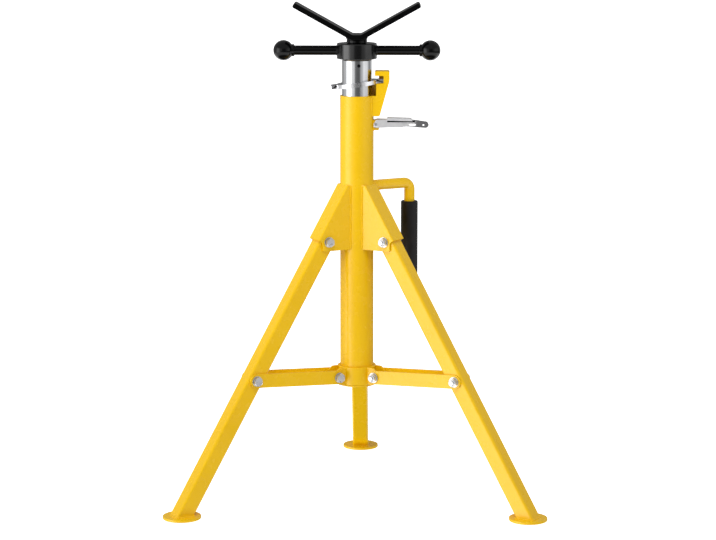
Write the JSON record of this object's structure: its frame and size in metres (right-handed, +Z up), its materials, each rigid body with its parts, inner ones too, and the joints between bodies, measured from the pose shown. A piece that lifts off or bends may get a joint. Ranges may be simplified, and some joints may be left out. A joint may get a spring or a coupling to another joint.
{
  "type": "pipe jack stand",
  "caption": "Folding floor stand with braced square-tube legs, a sliding mast, a screw-lifted V head for pipe, a tilting lock plate, a brake lever and a carry handle.",
  "frame": {"origin": "on the floor under the post's axis", "axes": "+Z up along the post, front (the side seen in the picture) towards -Y, lever and carry handle towards +X, the back leg along +Y"},
  "size_m": [0.5902, 0.5191, 0.78],
  "materials": {
    "yellow_paint": "satin yellow powder coat",
    "zinc_steel": "bright zinc plate",
    "chrome": "polished chrome plate",
    "black_enamel": "gloss black enamel",
    "black_ball": "polished black plastic",
    "screw_steel": "plain machined steel, lightly oiled",
    "dark_screws": "black oxide",
    "bronze": "plain bearing bronze",
    "grip_rubber": "smooth black rubber"
  },
  "bodies": {
    "post": {"post_tube": "yellow_paint", "post_end_ring": "yellow_paint", "leg_bracket_back": "yellow_paint", "leg_bracket_left": "yellow_paint", "leg_bracket_right": "yellow_paint", "lock_bracket": "yellow_paint", "lever_boss": "yellow_paint", "lever_pin": "zinc_steel", "handle_bar": "yellow_paint", "handle_grip": "grip_rubber", "leg_pivot_bolts": "zinc_steel", "leg_pivot_nuts": "zinc_steel", "leg_pivot_washers": "zinc_steel"},
    "mast": {"mast_tube": "chrome", "mast_bushing": "screw_steel", "bushing_set_screws": "dark_screws", "thrust_washer": "bronze"},
    "spinner": {"spinner_nut": "black_enamel", "spinner_bar_left": "black_enamel", "spinner_bar_right": "black_enamel", "ball_knob_left": "black_ball", "ball_knob_right": "black_ball"},
    "head": {"lift_screw": "screw_steel", "head_socket": "black_enamel", "vee_plate": "black_enamel"},
    "lock_plate": {"lock_plate": "zinc_steel"},
    "brake_lever": {"brake_lever": "chrome"},
    "collar": {"slide_collar": "yellow_paint", "collar_bolts": "zinc_steel", "collar_nuts": "zinc_steel", "collar_washers": "zinc_steel"},
    "leg_back": {"leg_tube_back": "yellow_paint", "foot_pad_back": "yellow_paint", "brace_sleeve_back": "zinc_steel"},
    "brace_back": {"brace_bars_back": "yellow_paint", "brace_bolt_back": "zinc_steel", "brace_nut_back": "zinc_steel"},
    "leg_left": {"leg_tube_left": "yellow_paint", "foot_pad_left": "yellow_paint", "brace_sleeve_left": "zinc_steel"},
    "brace_left": {"brace_bars_left": "yellow_paint", "brace_bolt_left": "zinc_steel", "brace_nut_left": "zinc_steel"},
    "leg_right": {"leg_tube_right": "yellow_paint", "foot_pad_right": "yellow_paint", "brace_sleeve_right": "zinc_steel"},
    "brace_right": {"brace_bars_right": "yellow_paint", "brace_bolt_right": "zinc_steel", "brace_nut_right": "zinc_steel"}
  },
  "joints": [
    {"name": "mast_slide", "type": "slide", "parent": "post", "child": "mast", "axis": [0, 0, 1], "range_m": [-0.018, 0.36]},
    {"name": "spinner_turn", "type": "hinge", "parent": "mast", "child": "spinner", "pos_m": [0, 0, 0.7047], "axis": [0, 0, -1], "range_deg": [0, 11880]},
    {"name": "head_lift", "type": "slide", "parent": "mast", "child": "head", "axis": [0, 0, 1], "range_m": [0, 0.165]},
    {"name": "lock_plate_tilt", "type": "hinge", "parent": "post", "child": "lock_plate", "pos_m": [0.039, 0, 0.65571], "axis": [0, 1, 0], "range_deg": [0, 7.5]},
    {"name": "brake_lever_lift", "type": "hinge", "parent": "post", "child": "brake_lever", "pos_m": [0.0292, 0, 0.5902], "axis": [0, -1, 0], "range_deg": [0, 28]},
    {"name": "leg_back_fold", "type": "hinge", "parent": "post", "child": "leg_back", "pos_m": [0, 0.0586, 0.4119], "axis": [-1, 0, 0], "range_deg": [0, 29.3]},
    {"name": "leg_left_fold", "type": "hinge", "parent": "post", "child": "leg_left", "pos_m": [-0.05075, -0.0293, 0.4119], "axis": [0.5, -0.866, 0], "range_deg": [0, 29.3]},
    {"name": "leg_right_fold", "type": "hinge", "parent": "post", "child": "leg_right", "pos_m": [0.05075, -0.0293, 0.4119], "axis": [0.5, 0.866, 0], "range_deg": [0, 29.3]},
    {"name": "collar_slide", "type": "slide", "parent": "post", "child": "collar", "axis": [0, 0, 1], "range_m": [0, 0.11604]},
    {"name": "brace_back_swing", "type": "hinge", "parent": "collar", "child": "brace_back", "pos_m": [0, 0.0406, 0.1954], "axis": [-1, 0, 0], "range_deg": [0, 83.16]},
    {"name": "brace_left_swing", "type": "hinge", "parent": "collar", "child": "brace_left", "pos_m": [-0.03516, -0.0203, 0.1954], "axis": [0.5, -0.866, 0], "range_deg": [0, 83.16]},
    {"name": "brace_right_swing", "type": "hinge", "parent": "collar", "child": "brace_right", "pos_m": [0.03516, -0.0203, 0.1954], "axis": [0.5, 0.866, 0], "range_deg": [0, 83.16]}
  ],
  "couplings": [
    {"joint": "head_lift", "follows": "spinner_turn", "m_per_rad": 0.00079577},
    {"joint": "leg_left_fold", "follows": "leg_back_fold", "ratio": 1},
    {"joint": "leg_right_fold", "follows": "leg_back_fold", "ratio": 1},
    {"joint": "collar_slide", "follows": "leg_back_fold", "m_per_rad": 0.22691},
    {"joint": "brace_back_swing", "follows": "leg_back_fold", "ratio": 2.8382},
    {"joint": "brace_left_swing", "follows": "leg_back_fold", "ratio": 2.8382},
    {"joint": "brace_right_swing", "follows": "leg_back_fold", "ratio": 2.8382}
  ]
}
